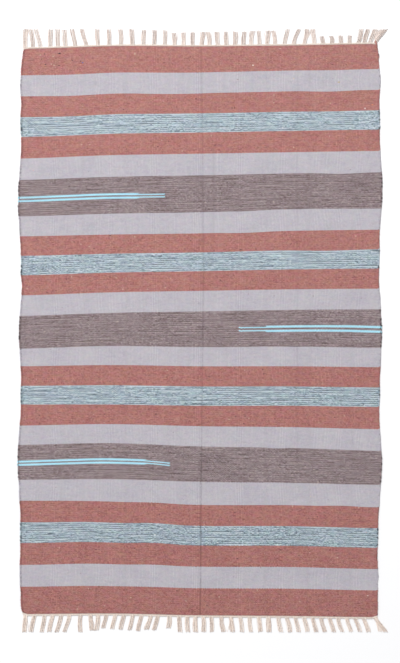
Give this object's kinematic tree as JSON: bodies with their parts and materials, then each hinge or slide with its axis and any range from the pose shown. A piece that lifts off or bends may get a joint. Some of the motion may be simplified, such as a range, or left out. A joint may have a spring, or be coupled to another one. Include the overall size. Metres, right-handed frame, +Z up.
{
  "type": "kilim rug",
  "caption": "Flat-woven striped cotton rug with uneven selvedges, a corded heading and short tassels at each end; lies flat on a floor.",
  "frame": {"origin": "middle of the bounding box, on the floor under the rug", "axes": "+X across the weaving to the right, +Y along the warps towards the far fringe, +Z up from the floor"},
  "size_m": [1.2298, 2.002, 0.0054],
  "materials": {
    "striped_weave": "weft-faced cotton weave, matt, in stripes of rust, lilac grey, light blue melange and taupe melange",
    "cotton_cord": "undyed plied cotton, matt"
  },
  "bodies": {
    "root": {"kilim_cloth": "striped_weave", "fringe_far": "cotton_cord", "fringe_near": "cotton_cord"}
  },
  "joints": []
}
